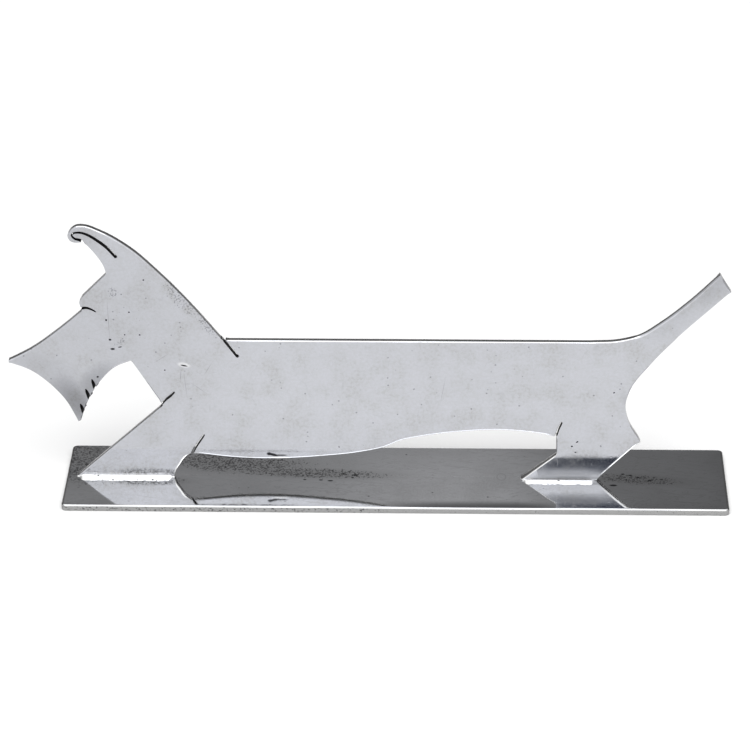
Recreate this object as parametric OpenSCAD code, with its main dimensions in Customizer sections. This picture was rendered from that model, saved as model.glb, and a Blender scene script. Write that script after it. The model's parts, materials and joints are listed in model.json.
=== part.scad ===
// Knife rest: a terrier sawn from one flat sheet, standing on edge and
// soldered by its feet to a flat base plate. All lengths are in millimetres.
// The origin is the middle of the base plate's underside, +X runs to the tail,
// +Z up, and the terrier's near face looks along -Y.

/* [Base plate] */
// Length of the base plate
base_l = 90; // [84:1:110]
// Depth of the base plate, front to back
base_w = 16.7; // [10:0.1:24]
// Thickness of the base plate
base_t = 0.9; // [0.6:0.05:1.6]
// Radius of the base plate's four corners
base_corner_r = 0.7; // [0.3:0.1:3]
// Width of the bevel round the base plate's upper edge
base_bevel = 0.15; // [0.05:0.05:0.25]

/* [Terrier] */
// Thickness of the sheet that the terrier is sawn from
sheet_t = 0.9; // [0.6:0.05:1.6]
// How far the nose reaches past the end of the base plate
nose_reach = 7; // [2:0.5:10]
// Length of the head and neck, from the nose to the start of the back
head_l = 29; // [25:0.5:33]
// Length of the trunk, from the neck to the narrowest place of the rump
trunk_l = 54; // [44:0.5:60]
// Length of the tail behind the rump
tail_l = 13.5; // [9:0.5:18]
// Height of the belly's highest place above the soles
leg_h = 7.5; // [6:0.1:10]
// Height of the trunk, from that place to the back
trunk_h = 13.5; // [10:0.1:18]
// Height of the ear above the back
head_h = 16.8; // [13:0.1:21]

/* [Saw cuts] */
// Width of a saw cut
saw_w = 0.26; // [0.15:0.01:0.3]
// Width of a saw cut's filed mouth
saw_mouth_w = 0.36; // [0.25:0.01:0.45]
// Width of the fringe's filed notches at their mouths
fringe_mouth_w = 0.45; // [0.3:0.01:0.6]

/* [Solder] */
// Thickness of the solder under the feet
solder_film = 0.05; // [0.03:0.01:0.1]
// Height of the front foot's solder fillets above the base plate
front_fillet_h = 0.35; // [0.25:0.05:0.8]
// How far the front foot's solder fillets run out over the base plate
front_fillet_w = 1.15; // [0.5:0.05:1.6]
// Height of the hind foot's solder fillets above the base plate
hind_fillet_h = 0.3; // [0.25:0.05:0.8]
// How far the hind foot's solder fillets run out over the base plate
hind_fillet_w = 1.3; // [0.5:0.05:1.6]

/* [Hidden] */

// Number of straight steps between two points of a curve
curve_steps = 5;
// Number of straight steps round the blind end of a saw cut
end_steps = 6;
// How much thinner the ear's saw cut is half way along
ear_waist_share = 0.5;
// How much of a fillet's height and width its hollow takes away
fillet_hollow_share = 0.55;

// Marks along X: nose, start of the back, rump, end of the tail
nose_x = -base_l/2 - nose_reach;
along_marks = [nose_x, nose_x + head_l, nose_x + head_l + trunk_l, nose_x + head_l + trunk_l + tail_l];
// Marks up Z: soles, highest place of the belly, back, top of the ear
sole_z = base_t + solder_film;
up_marks = [sole_z, sole_z + leg_h, sole_z + leg_h + trunk_h, sole_z + leg_h + trunk_h + head_h];

// Each pair below is a place on the silhouette: the first number runs from
// 0 at the nose over 1, at the start of the back, and 2, at the rump, to 3 at
// the end of the tail. The second runs from 0 at the soles over 1, at the
// belly, and 2, along the back, to 3 at the top of the ear.
front_toe_shares = [0.294, 0];
front_notch_shares = [0.709, 1.265];
beard_rear_shares = [[0.569, 1.765], [0.493, 1.690], [0.421, 1.530], [0.360, 1.310], [0.322, 1.085]];
beard_front_shares = [[0.310, 1.075], [0.252, 1.325], [0.186, 1.495], [0.097, 1.650], [0, 1.735]];
muzzle_shares = [[0, 1.760], [0.100, 1.880], [0.245, 2.095], [0.350, 2.255]];
brow_shares = [[0.350, 2.275], [0.341, 2.325], [0.355, 2.380]];
ear_front_shares = [[0.471, 2.586], [0.459, 2.655], [0.424, 2.756], [0.371, 2.868]];
ear_tip_shares = [[0.366, 2.862], [0.345, 2.853], [0.317, 2.862], [0.303, 2.905], [0.314, 2.960],
                  [0.342, 2.996], [0.374, 3], [0.450, 2.952], [0.583, 2.808], [0.713, 2.592],
                  [0.846, 2.333], [0.997, 2]];
tail_top_shares = [[1.907, 2], [1.980, 2.015], [2.120, 2.062], [2.310, 2.167], [2.600, 2.370], [2.885, 2.608]];
tail_under_shares = [[3, 2.455], [2.800, 2.295], [2.510, 2.060], [2.230, 1.750], [2.037, 1.458],
                     [2, 1.304], [2.037, 1.106], [2.141, 0.860]];
hock_shares = [2.158, 0.785];
hind_heel_shares = [1.932, 0];
hind_toe_shares = [1.742, 0];
knee_shares = [1.830, 0.510];
thigh_shares = [1.829, 0.927];
belly_shares = [[1.822, 0.893], [1.763, 0.960], [1.687, 1], [1.587, 0.960], [1.487, 0.853],
                [1.437, 0.767], [1.400, 0.640], [1.337, 0.527], [1.235, 0.433], [1.133, 0.382],
                [1.033, 0.393], [0.845, 0.487]];
front_heel_shares = [[0.828, 0.487], [0.804, 0.393], [0.779, 0.240], [0.759, 0.113], [0.750, 0]];

// Saw cuts, each from its open mouth to its blind end
ear_cut_shares = [[0.372, 2.846], [0.369, 2.865], [0.360, 2.879], [0.348, 2.885], [0.337, 2.890],
                  [0.328, 2.904], [0.323, 2.922], [0.330, 2.937], [0.346, 2.944], [0.368, 2.942],
                  [0.393, 2.926], [0.437, 2.877], [0.481, 2.813], [0.519, 2.735]];
eye_cut_shares = [[0.340, 2.275], [0.371, 2.283], [0.394, 2.271], [0.416, 2.248]];
nape_cut_shares = [[0.989, 2.034], [1.034, 1.823]];
shoulder_cut_shares = [[0.700, 1.270], [0.721, 1.325], [0.745, 1.370], [0.762, 1.412]];
elbow_cut_shares = [[0.833, 0.440], [0.854, 0.617], [0.878, 0.762], [0.895, 0.868]];
thigh_cut_shares = [[1.828, 0.900], [1.833, 1.015], [1.841, 1.095]];
// Three cuts that fringe the rear edge of the beard
fringe_cut_shares = [[[0.401, 1.420], [0.383, 1.550]],
                     [[0.372, 1.315], [0.352, 1.440]],
                     [[0.341, 1.160], [0.324, 1.270]]];

// Position of a share on a row of marks
function mark(marks, share) =
    let (zone = min(floor(share), len(marks) - 2))
    marks[zone] + (share - zone)*(marks[zone + 1] - marks[zone]);

// Place of one pair of shares, and of a list of them
function place(shares) = [mark(along_marks, shares[0]), mark(up_marks, shares[1])];
function places(rows) = [for (shares = rows) place(shares)];

// Speed at b of a curve that runs through a, b and c, over a step as long as reach
function speed(a, b, c, reach) =
    let (before = norm(b - a), after = norm(c - b))
    reach*((b - a)/before - (c - a)/(before + after) + (c - b)/after);

// Point of the curve between b and c at the fraction u, with a before it and d after it
function between(a, b, c, d, u) =
    let (reach = norm(c - b), leave = speed(a, b, c, reach), arrive = speed(b, c, d, reach))
    b*(1 - 3*u*u + 2*u*u*u) + leave*(u - 2*u*u + u*u*u) + c*(3*u*u - 2*u*u*u) + arrive*(u*u*u - u*u);

// Smooth curve through all the points of a list
function curve(p) =
    let (last = len(p) - 1)
    concat([for (i = [0:last - 1], k = [0:curve_steps - 1])
               between(i == 0 ? 2*p[0] - p[1] : p[i - 1], p[i], p[i + 1],
                       i == last - 1 ? 2*p[last] - p[last - 1] : p[i + 2], k/curve_steps)],
           [p[last]]);

// Unit vector square to the path at its point i, on the left of the way along it
function side(p, i) =
    let (d = p[min(i + 1, len(p) - 1)] - p[max(i - 1, 0)])
    [-d[1], d[0]]/norm(d);

// Outline of a saw cut along a path, with a width at its mouth and at its round blind end,
// and thinner half way along by the waist's share
function cut_outline(p, mouth_w, end_w, waist_share) =
    let (last = len(p) - 1,
         half = [for (i = [0:last])
                    let (u = i/last)
                    (mouth_w + (end_w - mouth_w)*u)*(1 - waist_share*pow(sin(180*u), 2))/2],
         out = side(p, last),
         ahead = [out[1], -out[0]])
    concat([for (i = [0:last - 1]) p[i] + half[i]*side(p, i)],
           [for (k = [0:end_steps])
               p[last] + half[last]*(cos(180*k/end_steps)*out + sin(180*k/end_steps)*ahead)],
           [for (i = [last - 1:-1:0]) p[i] - half[i]*side(p, i)]);

module cut(shares, mouth_w, end_w, waist_share = 0) {
    polygon(cut_outline(curve(places(shares)), mouth_w, end_w, waist_share));
}

// Silhouette from the front toe up the head, along the back and round under the belly
module silhouette() {
    polygon(concat([place(front_toe_shares), place(front_notch_shares)],
                   curve(places(beard_rear_shares)),
                   curve(places(beard_front_shares)),
                   curve(places(muzzle_shares)),
                   curve(places(brow_shares)),
                   curve(places(ear_front_shares)),
                   curve(places(ear_tip_shares)),
                   curve(places(tail_top_shares)),
                   curve(places(tail_under_shares)),
                   [place(hock_shares), place(hind_heel_shares), place(hind_toe_shares)],
                   [place(knee_shares), place(thigh_shares)],
                   curve(places(belly_shares)),
                   curve(places(front_heel_shares))));
}

module terrier_plate() {
    color("gainsboro")
    rotate([90, 0, 0])
    linear_extrude(height = sheet_t, center = true)
    difference() {
        silhouette();
        cut(ear_cut_shares, saw_mouth_w, saw_mouth_w, ear_waist_share);
        cut(eye_cut_shares, saw_mouth_w, saw_w/3);
        cut(nape_cut_shares, saw_w, saw_mouth_w);
        cut(shoulder_cut_shares, saw_w, saw_w);
        cut(elbow_cut_shares, saw_mouth_w, saw_w);
        cut(thigh_cut_shares, saw_w, saw_w);
        for (shares = fringe_cut_shares) cut(shares, fringe_mouth_w, saw_w/2);
    }
}

// Cross-section of half the base plate, from its middle out to a bevelled edge
module plate_section(half_w) {
    polygon([[0, 0], [half_w, 0], [half_w, base_t - base_bevel], [half_w - base_bevel, base_t], [0, base_t]]);
}

// Bar with that cross-section and its mirror image, along X
module plate_bar(length, half_w) {
    rotate([90, 0, 90])
    linear_extrude(height = length, center = true) {
        plate_section(half_w);
        mirror([1, 0]) plate_section(half_w);
    }
}

module base_plate() {
    color("silver") {
        plate_bar(base_l - 2*base_corner_r, base_w/2);
        rotate([0, 0, 90]) plate_bar(base_w - 2*base_corner_r, base_l/2);
        for (x = [-1, 1], y = [-1, 1])
            translate([x*(base_l/2 - base_corner_r), y*(base_w/2 - base_corner_r), 0])
            rotate_extrude($fn = 32) plate_section(base_corner_r);
    }
}

// Hollow face of a fillet w wide and h high on the near side of the sheet, from the plate up to the sheet
function fillet_curve(w, h) =
    [for (k = [0:curve_steps])
        let (u = k/curve_steps,
             out = (1 - u)*(1 - u) + 2*u*(1 - u)*(1 - fillet_hollow_share),
             up = u*u + 2*u*(1 - u)*(1 - fillet_hollow_share))
        [sheet_t/2 + w*out, base_t + h*up]];

// Solder under one foot, from toe to heel, with a hollow fillet on both faces of the sheet
module foot_solder(toe_x, heel_x, w, h) {
    near = fillet_curve(w, h);
    far = [for (k = [curve_steps:-1:0]) [-near[k][0], near[k][1]]];
    color("whitesmoke")
    translate([toe_x, 0, 0])
    rotate([90, 0, 90])
    linear_extrude(height = heel_x - toe_x)
    polygon(concat(near, [[sheet_t/2, sole_z], [-sheet_t/2, sole_z]], far));
}

module front_foot_solder() {
    foot_solder(place(front_toe_shares)[0], place(front_heel_shares[4])[0], front_fillet_w, front_fillet_h);
}

module hind_foot_solder() {
    foot_solder(place(hind_toe_shares)[0], place(hind_heel_shares)[0], hind_fillet_w, hind_fillet_h);
}

base_plate();
terrier_plate();
front_foot_solder();
hind_foot_solder();
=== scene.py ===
"""Looks of a knife rest: a terrier sawn from sheet metal and soldered to a flat base plate."""

import json
import math

import bmesh
import bpy
import numpy as np
from bpy.props import FloatProperty, FloatVectorProperty, IntProperty, PointerProperty
from mathutils import Matrix, Vector
from mathutils.geometry import delaunay_2d_cdt

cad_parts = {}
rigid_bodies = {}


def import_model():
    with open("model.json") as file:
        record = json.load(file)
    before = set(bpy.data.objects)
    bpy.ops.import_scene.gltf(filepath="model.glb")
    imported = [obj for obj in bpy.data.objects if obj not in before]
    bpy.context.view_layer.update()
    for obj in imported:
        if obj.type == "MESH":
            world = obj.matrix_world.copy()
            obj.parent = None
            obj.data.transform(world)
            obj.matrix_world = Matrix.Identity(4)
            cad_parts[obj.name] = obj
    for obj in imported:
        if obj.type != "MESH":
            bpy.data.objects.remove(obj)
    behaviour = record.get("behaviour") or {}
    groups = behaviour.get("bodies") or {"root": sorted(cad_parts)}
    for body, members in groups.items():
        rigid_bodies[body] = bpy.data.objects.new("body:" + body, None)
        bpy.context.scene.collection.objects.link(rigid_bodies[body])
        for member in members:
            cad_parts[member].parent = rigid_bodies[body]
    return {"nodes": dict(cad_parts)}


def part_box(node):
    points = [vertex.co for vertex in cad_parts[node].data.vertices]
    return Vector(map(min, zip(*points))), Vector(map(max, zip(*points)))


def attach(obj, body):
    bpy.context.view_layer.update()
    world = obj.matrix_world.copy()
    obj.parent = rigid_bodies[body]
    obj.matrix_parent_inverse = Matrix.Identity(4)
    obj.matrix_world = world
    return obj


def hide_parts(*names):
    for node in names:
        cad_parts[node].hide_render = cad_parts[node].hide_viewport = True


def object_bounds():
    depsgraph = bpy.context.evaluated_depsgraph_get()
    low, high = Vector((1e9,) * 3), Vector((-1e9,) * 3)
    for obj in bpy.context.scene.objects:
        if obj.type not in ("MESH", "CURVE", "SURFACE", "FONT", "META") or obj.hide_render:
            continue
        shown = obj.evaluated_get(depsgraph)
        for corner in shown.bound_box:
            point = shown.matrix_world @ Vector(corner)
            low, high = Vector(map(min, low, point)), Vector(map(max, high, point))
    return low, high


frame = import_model()
cad_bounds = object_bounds()

bl_info = {
    "name": "Terrier knife rest",
    "version": (1, 0, 0),
    "blender": (4, 5, 0),
    "location": "View3D > Sidebar > Knife rest",
    "description": "Makes the sawn terrier, its base plate, the solder at its feet and a pale stage",
    "category": "Add Mesh",
}

MM = 0.001
BODY = "root"
WELD = 1e-6
SMOOTH_UNDER = math.radians(35)


# Sizes and colours that a user would change


def length(name, description, default):
    """A length setting in metres, from its default in millimetres."""
    return FloatProperty(
        name=name, description=description, default=default * MM, min=0.0,
        precision=5, subtype="DISTANCE", unit="LENGTH",
    )


def colour(name, description, default):
    """A colour setting without alpha."""
    return FloatVectorProperty(
        name=name, description=description, default=default, min=0.0, max=1.0,
        size=3, subtype="COLOR",
    )


def share(name, description, default):
    """A setting from none, 0, to full, 1."""
    return FloatProperty(
        name=name, description=description, default=default, min=0.0, max=1.0, subtype="FACTOR",
    )


def angle(name, description, default):
    """An angle setting, from its default in degrees."""
    return FloatProperty(
        name=name, description=description, default=math.radians(default), subtype="ANGLE",
    )


class RestSizes(bpy.types.PropertyGroup):
    """Sizes of the worn edges, the solder and the uneven surfaces."""

    edge_round: length("Edge round", "How far the terrier's polished edges are worn", 0.15)
    under_round: length("Under round", "How far the lower edges of belly and heels are worn", 0.34)
    under_depth: length("Under depth", "How far across the sheet they are worn", 0.085)
    under_crown: share("Under crown", "How much of that wear is a bulge of the sawn edge", 0.32)
    under_top: length("Under top", "Height under which lower edges are worn wider", 9.5)
    tail_round: length("Tail round", "How far the tail's edges are worn", 0.25)
    cut_round: length("Cut round", "How far the edges of the saw cuts are worn", 0.05)
    fringe_round: length("Fringe round", "How far the edges of the beard's fringe are worn", 0.11)
    cut_reach: length("Cut reach", "Facing edges this close belong to a saw cut", 0.64)
    fullness: share("Fullness", "How full the worn edges are, from a chamfer to a round", 0.35)
    face_step: length("Face step", "Distance between the points of the terrier's faces", 0.80)
    sheet_wave: length("Sheet wave", "Height of the waves in the terrier's faces", 0.004)
    foot_sweep: length("Foot sweep", "How far a foot's face swells towards its solder", 0.03)
    foot_sweep_height: length("Foot sweep height", "Height over which a foot's face swells", 1.4)
    hind_splay: length("Hind splay", "How far the hind foot's faces splay out at the sole", 0.26)
    hind_splay_height: length("Hind splay height", "Height over which they splay out", 4.4)
    side_step: length("Side step", "Longest side of the terrier's outline", 0.30)
    fringe_lean: length("Fringe lean", "How far the fringe's saw cuts lean across the sheet", 0.27)
    fringe_top: length("Fringe top", "Height under which the beard's cuts are a fringe", 17.0)
    corner_radius: length("Corner radius", "Radius of the base plate's corners", 0.7)
    plate_round: length("Plate round", "Round of the base plate's upper edges", 0.26)
    plate_ease: length("Plate ease", "Round of the base plate's lower edges", 0.08)
    plate_fall: length("Plate fall", "How far the plate's top falls towards its edges", 0.012)
    front_fall: length("Front fall", "How much more its top falls along the middle of the front", 0.045)
    plate_wave: length("Plate wave", "Height of the waves in the plate's top", 0.0025)
    end_reach: length("End reach", "How far the solder runs out round a foot's ends", 0.10)
    solder_hollow: share(
        "Solder hollow", "How much of the solder's height and reach its hollow takes", 0.55,
    )
    solder_ripple: share("Solder ripple", "How unevenly the solder's edge runs", 0.06)
    arc_steps: IntProperty(
        name="Arc steps", description="Faces across each rounded edge", default=6, min=2, max=12,
    )


class RestFinishes(bpy.types.PropertyGroup):
    """Colours of the metal and of its wear, with the colours that also paint shade and highlights."""

    terrier: colour("Terrier", "Polished metal of the terrier", (0.540, 0.550, 0.588))
    plate: colour("Base plate", "Polished metal of the base plate", (0.633, 0.640, 0.653))
    solder: colour("Solder", "Bright metal of the solder", (0.850, 0.850, 0.850))
    # Also the colour of the painted shade where the solder climbs the feet and at the plate's two ends.
    sawn: colour("Sawn edge", "Metal of the sawn edges, which stays duller", (0.300, 0.298, 0.296))
    plate_side: colour("Plate side", "Metal of the base plate's upright sides", (0.350, 0.350, 0.348))
    patina: colour("Patina", "Metal where a thin patina dulls it", (0.400, 0.400, 0.396))
    # Also the colour of the painted shade and dark reflections on the terrier's face.
    tarnish_and_shade: colour("Tarnish", "Dark tarnish in specks and pits", (0.030, 0.030, 0.034))
    # Painted highlight: this bright colour stands in for the light caught by a few spots and worn edges
    # of the face.
    painted_highlight: colour("Rubbed", "Metal rubbed bright along the edges at the feet", (0.93, 0.93, 0.93))
    # Painted shade: the walls of the saw cuts take this near black for the deep shade inside them.
    cut: colour("Cut", "Dark residue in the saw cuts", (0.010, 0.010, 0.011))


class RestStage(bpy.types.PropertyGroup):
    """The floor, the soft light and the camera."""

    floor: colour("Floor", "Colour of the pale floor", (0.83, 0.83, 0.83))
    floor_span: FloatProperty(
        name="Floor span", description="Width of the floor", default=3.0, min=0.5,
        subtype="DISTANCE", unit="LENGTH",
    )
    lens: FloatProperty(
        name="Lens", description="Focal length of the camera", default=169.6, min=20.0,
        subtype="DISTANCE_CAMERA", unit="CAMERA",
    )
    camera_distance: length("Camera distance", "From the camera to the point it looks at", 475.1)
    camera_height: angle("Camera elevation", "Angle at which the camera looks down", 28.0)
    camera_yaw: angle("Camera yaw", "Turn of the camera round the upright", -1.63)
    camera_roll: angle("Camera roll", "Tilt of the picture", -0.38)
    lamp_power: FloatProperty(
        name="Lamp power", description="Power of the soft lamp overhead", default=2.1, min=0.0,
        subtype="POWER", unit="POWER",
    )


# Meshes


def mesh_object(name, points, faces, node):
    """A closed piece from its points, in metres, and its faces, that stands in for the CAD node."""
    mesh = bpy.data.meshes.new(name)
    mesh.from_pydata(points.reshape(-1, 3).tolist(), [], faces)
    mesh.validate()
    form = bmesh.new()
    form.from_mesh(mesh)
    bmesh.ops.recalc_face_normals(form, faces=form.faces)
    if not all(edge.is_manifold for edge in form.edges):
        raise RuntimeError(name + " is not closed")
    form.to_mesh(mesh)
    form.free()
    mesh.shade_smooth()
    mesh.set_sharp_from_angle(angle=SMOOTH_UNDER)
    piece = bpy.data.objects.new(name, mesh)
    bpy.context.scene.collection.objects.link(piece)
    weighted = piece.modifiers.new("Flat faces stay flat", "WEIGHTED_NORMAL")
    weighted.keep_sharp = True
    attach(piece, BODY)
    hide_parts(node)
    return piece


def point_values(piece, name, values):
    """Stores one value for each point of the piece, for its material."""
    attribute = piece.data.attributes.new(name, "FLOAT", "POINT")
    attribute.data.foreach_set("value", values.astype(np.float32).ravel())


def crease(piece, names):
    """Keeps every edge between two of the named points crisp."""
    ends = np.empty(len(piece.data.edges) * 2, np.int32)
    piece.data.edges.foreach_get("vertices", ends)
    crisp = np.empty(len(piece.data.edges), bool)
    piece.data.edges.foreach_get("use_edge_sharp", crisp)
    crisp |= np.isin(ends.reshape(-1, 2), names).all(axis=1)
    piece.data.edges.foreach_set("use_edge_sharp", crisp)


def ring_faces(rings, count):
    """Quads between rings of `count` points. Point i of ring j is number j * count + i."""
    here = np.arange(count)
    beside = np.roll(here, -1)
    start = np.arange(rings - 1)[:, None] * count
    quads = np.stack([start + here, start + beside, start + count + beside, start + count + here], -1)
    return quads.reshape(-1, 4).tolist()


def ring_caps(rings, count):
    """One face inside the first ring and one inside the last."""
    first = list(range(count))
    last = list(range((rings - 1) * count, rings * count))
    return [first[::-1], last]


def quarter(steps, fullness=1.0):
    """The profile of a worn edge: its insets, from 1 to 0, and its drops, from 0 to 1.

    They are 1 - sin^k and 1 - cos^k of the angle. k is 2 / (1 + fullness), which makes a quarter
    round for a fullness of 1 and a flat chamfer for 0.
    """
    angle = np.linspace(0.0, math.pi / 2, steps + 1)
    power = 2.0 / (1.0 + fullness)
    return 1.0 - np.sin(angle) ** power, 1.0 - np.abs(np.cos(angle)) ** power


def smooth_step(value):
    """3 t^2 - 2 t^3 of the value held to 0 to 1."""
    held = np.clip(value, 0.0, 1.0)
    return held * held * (3.0 - 2.0 * held)


def waves(a, b, span):
    """Low even waves: the mean of three sines of a and b whose wavelengths are about `span`."""
    turn = 2.0 * math.pi / span
    first = np.sin(turn * (0.9 * a + 0.5 * b))
    second = np.sin(turn * (0.6 * a - 1.3 * b) + 1.1)
    third = np.sin(turn * (1.7 * a + 0.8 * b) + 2.3)
    return (first + second + third) / 3.0


# The terrier's outline

# How far from the plate's front end the beard ends and the worn lower edges start, and how far
# from its rear end the tail starts. Then the height over which the tail lies.
BEARD_END = 5 * MM
UNDER_START = 14 * MM
TAIL_START = 13 * MM
TAIL_BOTTOM = 22.4 * MM
# The beard's rear: a share of the way from the nose to the front foot's rear, and a little more
BEARD_SHARE = 0.42
BEARD_MORE = 3.0 * MM
# A side faces down where its normal's height is under this
FACES_DOWN = -0.35
# A corner is sharp where it turns by over this, in radians, and allows this share of its side
SHARP_TURN = 0.3
SHARP_SHARE = 0.08
# How fast the wear grows along the outline
WEAR_GROWTH = 0.28
# A mitre's 1 + m . n is held above this, so that no spike grows at a sharp corner
LEAST_FACING = 0.15
# A corner faces another that lies ahead of it by over this share of the distance between them, if
# the product of their normals is under this
AHEAD_SHARE = 0.3
FACING_PRODUCT = -0.2
# How far apart the rows of a triangle grid lie, as a share of its step
GRID_ROWS = 0.866
# Points of a face that lie this close, in millimetres, count as one
SAME_POINT = 1e-7
# The part of the hind foot's splay that runs straight. The rest runs as a square.
STRAIGHT_SPLAY = 0.38
# The wavelength of the low waves in the terrier's faces
SHEET_SPAN = 17 * MM


def walked(after, start):
    """A closed row of corners in order, from the corner that follows each, doubled at each pass."""
    row = np.array([start])
    leap = after
    while len(row) < len(after):
        row = np.concatenate([row, leap[row]])
        leap = leap[leap]
    again = np.flatnonzero(row[1:] == start)
    return row[: again[0] + 1] if again.size else row


def sheet_outlines(node):
    """The closed outlines of a sheet that stands across Y, as rows of (x, z), read from its CAD node.

    The rim of the front face is every side of a front triangle that no other front triangle
    shares. The rows run as the triangles do, so the metal always lies on the same hand.
    """
    mesh = frame["nodes"][node].data
    mesh.calc_loop_triangles()
    points = np.empty(len(mesh.vertices) * 3, np.float32)
    mesh.vertices.foreach_get("co", points)
    points = points.reshape(-1, 3).astype(float)
    corners = np.empty(len(mesh.loop_triangles) * 3, np.int32)
    mesh.loop_triangles.foreach_get("vertices", corners)
    cells = np.round(points / WELD).astype(np.int64)
    places, which = np.unique(cells, axis=0, return_inverse=True)
    triangles = which.reshape(-1)[corners.reshape(-1, 3)]
    front = places[:, 1].min()
    triangles = triangles[(places[triangles, 1] == front).all(axis=1)]
    sides = np.concatenate([triangles[:, [0, 1]], triangles[:, [1, 2]], triangles[:, [2, 0]]])
    width = len(places)
    forward = sides[:, 0] * width + sides[:, 1]
    backward = sides[:, 1] * width + sides[:, 0]
    rim = sides[~np.isin(forward, backward)]
    names = np.unique(rim)
    after = np.empty(len(names), int)
    after[np.searchsorted(names, rim[:, 0])] = np.searchsorted(names, rim[:, 1])
    outlines = []
    left = np.arange(len(names))
    while left.size:
        row = walked(after, left[0])
        outlines.append(places[names[row]][:, [0, 2]] * WELD)
        left = np.setdiff1d(left, row)
    return outlines


def unit(vectors):
    """The vectors scaled to a length of 1."""
    return vectors / np.hypot(vectors[:, 0], vectors[:, 1])[:, None]


def side_directions(row):
    """Unit directions and lengths of the sides that start at each corner of a closed row."""
    sides = np.roll(row, -1, axis=0) - row
    lengths = np.hypot(sides[:, 0], sides[:, 1])
    return sides / lengths[:, None], lengths


def outward_mitres(row):
    """At each corner, the vector that moves both its sides outwards by 1: (m + n) / (1 + m . n).

    m and n are the sides' outward normals, to the right of a row with the metal on its left.
    """
    ahead, _ = side_directions(row)
    normals = np.stack([ahead[:, 1], -ahead[:, 0]], axis=1)
    before = np.roll(normals, 1, axis=0)
    facing = 1.0 + (normals * before).sum(axis=1)
    return (normals + before) / np.maximum(facing, LEAST_FACING)[:, None]


def corner_turns(row):
    """The angle by which the row turns at each corner."""
    ahead, _ = side_directions(row)
    behind = np.roll(ahead, 1, axis=0)
    cross = behind[:, 0] * ahead[:, 1] - behind[:, 1] * ahead[:, 0]
    return np.arctan2(cross, (behind * ahead).sum(axis=1))


def filled(row, step):
    """The closed row with even points added along each side that is longer than the step."""
    counts = np.ceil(np.hypot(*(np.roll(row, -1, axis=0) - row).T) / step).astype(int)
    side = np.repeat(np.arange(len(row)), counts)
    way = (np.arange(len(side)) - np.repeat(np.cumsum(counts) - counts, counts)) / counts[side]
    return row[side] + (np.roll(row, -1, axis=0)[side] - row[side]) * way[:, None]


def gaps_along(row):
    """How far each two corners of a closed row lie apart along it."""
    _, lengths = side_directions(row)
    along = np.concatenate([[0.0], np.cumsum(lengths)[:-1]])
    gap = np.abs(along[:, None] - along[None])
    return np.minimum(gap, lengths.sum() - gap)


def in_cuts(row, everything, normals_here, normals_all, reach):
    """1 at corners that face another part of the outlines across less than `reach`, else 0."""
    apart = everything[None] - row[:, None]
    distance = np.hypot(apart[..., 0], apart[..., 1])
    ahead = (apart * normals_here[:, None]).sum(axis=2)
    facing = (normals_here[:, None] * normals_all[None]).sum(axis=2)
    near = (distance > 0) & (distance < reach)
    across = near & (ahead > AHEAD_SHARE * distance) & (facing < FACING_PRODUCT)
    return across.any(axis=1).astype(float)


def edge_wear(row, normals, cut, sizes):
    """How far the edge is worn at each corner of a row, inwards along the face and across the sheet.

    An edge that faces down over the plate is worn to a wide, shallow slope, and the tail's more
    than the rest. A sharp corner allows a small share of its shorter side over the tangent of half
    its turn, a saw cut allows its own small round, and the wear grows from there along the row.
    """
    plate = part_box("base_plate")
    x, z = row.T
    under = (normals[:, 1] < FACES_DOWN) & (z < sizes.under_top) & (x > plate[0].x + UNDER_START)
    tail = (x > plate[1].x - TAIL_START) & (z > TAIL_BOTTOM)
    upper = np.where(tail, sizes.tail_round, sizes.edge_round)
    turn = np.abs(corner_turns(row))
    _, lengths = side_directions(row)
    shorter = np.minimum(lengths, np.roll(lengths, 1))
    beard = (z < sizes.fringe_top) & (x < plate[0].x + BEARD_END)
    narrow = np.where(beard, sizes.fringe_round, sizes.cut_round)
    wear = []
    for lower in (sizes.under_round, sizes.under_depth):
        widest = np.where(under, lower, upper)
        corner = SHARP_SHARE * shorter / np.tan(turn / 2 + 1e-9)
        allowed = np.where(turn > SHARP_TURN, corner, widest)
        allowed = np.where(cut > 0, np.minimum(allowed, narrow), allowed)
        wear.append((allowed[None] + WEAR_GROWTH * gaps_along(row)).min(axis=1))
    return wear


def inside(points, rows):
    """Whether each point lies in the area of the closed rows: an odd number of sides pass above it."""
    start = np.concatenate(rows)
    end = np.concatenate([np.roll(row, -1, axis=0) for row in rows])
    x, z = points[:, :1], points[:, 1:]
    spans = (start[:, 0] > x) != (end[:, 0] > x)
    run = np.where(end[:, 0] == start[:, 0], 1.0, end[:, 0] - start[:, 0])
    height = start[:, 1] + (x - start[:, 0]) * (end[:, 1] - start[:, 1]) / run
    return ((spans & (height > z)).sum(axis=1) % 2).astype(bool)


def face_points(rows, step):
    """Points on a triangle grid inside the rows, at least half a step from them."""
    rim = np.concatenate(rows)
    low, high = rim.min(axis=0), rim.max(axis=0)
    along, up = np.arange(low[0], high[0], step), np.arange(low[1], high[1], step * GRID_ROWS)
    x, z = np.meshgrid(along, up)
    x[1::2] += step / 2
    grid = np.stack([x.ravel(), z.ravel()], axis=1)
    grid = grid[inside(grid, rows)]
    near = np.hypot(grid[:, None, 0] - rim[None, :, 0], grid[:, None, 1] - rim[None, :, 1])
    return grid[near.min(axis=1) > 0.5 * step]


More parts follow.
